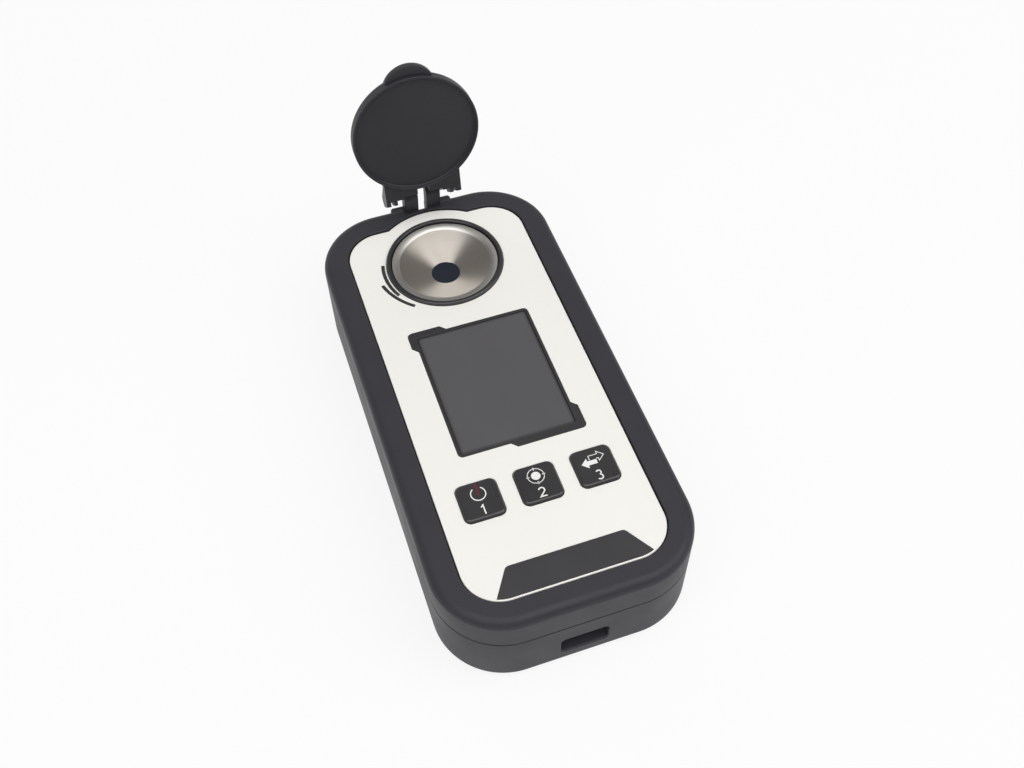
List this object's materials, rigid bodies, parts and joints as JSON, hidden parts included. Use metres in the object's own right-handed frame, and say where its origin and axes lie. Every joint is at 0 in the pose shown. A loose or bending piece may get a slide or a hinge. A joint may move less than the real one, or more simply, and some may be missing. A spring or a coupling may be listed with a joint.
{
  "type": "digital refractometer",
  "caption": "Pocket digital refractometer: a two-shell case with a white face, steel sample dish over a prism, screen, press keys, strap slot and a round flip lid.",
  "frame": {"origin": "centre of the case's underside, on the flat resting face", "axes": "+Z out of the white face, +Y along the case towards the lid hinge, +X to the right seen from the keys"},
  "size_m": [0.058, 0.1211, 0.0683],
  "materials": {
    "case_plastic": "fine textured charcoal plastic",
    "lid_plastic": "smooth satin charcoal plastic",
    "white_face": "warm white coated panel",
    "black_inlay": "satin black",
    "key_plastic": "black with glossy edges",
    "clear_window": "clear polished window",
    "display_glass": "dark grey unlit display",
    "white_diffuser": "translucent white",
    "black_epoxy": "moulded epoxy",
    "circuit_board": "green solder mask",
    "flex_film": "amber film",
    "dish_steel": "turned stainless steel",
    "screw_steel": "plain steel",
    "optical_glass": "polished, dark from above",
    "led_epoxy": "clear amber",
    "black_rubber": "soft black",
    "grey_silicone": "soft grey",
    "nickel_plate": "bright nickel",
    "cell_jacket": "plain dark jacket"
  },
  "bodies": {
    "housing": {"upper_case": "case_plastic", "lower_case": "case_plastic", "battery_door": "case_plastic", "optics_block": "case_plastic", "faceplate": "white_face", "screen_surround": "black_inlay", "front_panel": "black_inlay", "inner_mark": "black_inlay", "outer_mark": "black_inlay", "display_window": "clear_window", "display_glass": "display_glass", "backlight": "white_diffuser", "dish_ring": "key_plastic", "power_switch": "black_epoxy", "zero_switch": "black_epoxy", "mode_switch": "black_epoxy", "controller_chip": "black_epoxy", "image_sensor": "black_epoxy", "thermistor": "black_epoxy", "main_board": "circuit_board", "sensor_board": "circuit_board", "flex_cable": "flex_film", "sample_dish": "dish_steel", "prism": "optical_glass", "lens": "optical_glass", "lamp_led": "led_epoxy", "prism_seal": "black_rubber", "case_seal": "black_rubber", "door_gasket": "black_rubber", "contact_strip_front": "grey_silicone", "contact_strip_rear": "grey_silicone", "battery": "cell_jacket", "battery_plus_contact": "nickel_plate", "battery_minus_contact": "nickel_plate", "battery_spring": "nickel_plate", "door_screw": "screw_steel", "case_screw_front_left": "screw_steel", "case_screw_front_right": "screw_steel", "case_screw_rear_left": "screw_steel", "case_screw_rear_right": "screw_steel", "board_screw_front_left": "screw_steel", "board_screw_front_right": "screw_steel", "board_screw_rear_left": "screw_steel", "board_screw_rear_right": "screw_steel", "optics_screw_left": "screw_steel", "optics_screw_right": "screw_steel", "hinge_pin_left": "screw_steel", "hinge_pin_right": "screw_steel"},
    "flip_lid": {"lid": "lid_plastic"},
    "power_button": {"power_key": "key_plastic", "power_plunger": "white_diffuser"},
    "zero_button": {"zero_key": "key_plastic", "zero_plunger": "white_diffuser"},
    "mode_button": {"mode_key": "key_plastic", "mode_plunger": "white_diffuser"}
  },
  "joints": [
    {"name": "lid_hinge", "type": "hinge", "parent": "housing", "child": "flip_lid", "pos_m": [0, 0.0585, 0.02977], "axis": [1, 0, 0], "range_deg": [0, 97]},
    {"name": "power_press", "type": "slide", "parent": "housing", "child": "power_button", "axis": [0, 0, -1], "range_m": [0, 0.0005], "stiffness_N_per_m": 2000},
    {"name": "zero_press", "type": "slide", "parent": "housing", "child": "zero_button", "axis": [0, 0, -1], "range_m": [0, 0.0005], "stiffness_N_per_m": 2000},
    {"name": "mode_press", "type": "slide", "parent": "housing", "child": "mode_button", "axis": [0, 0, -1], "range_m": [0, 0.0005], "stiffness_N_per_m": 2000}
  ]
}
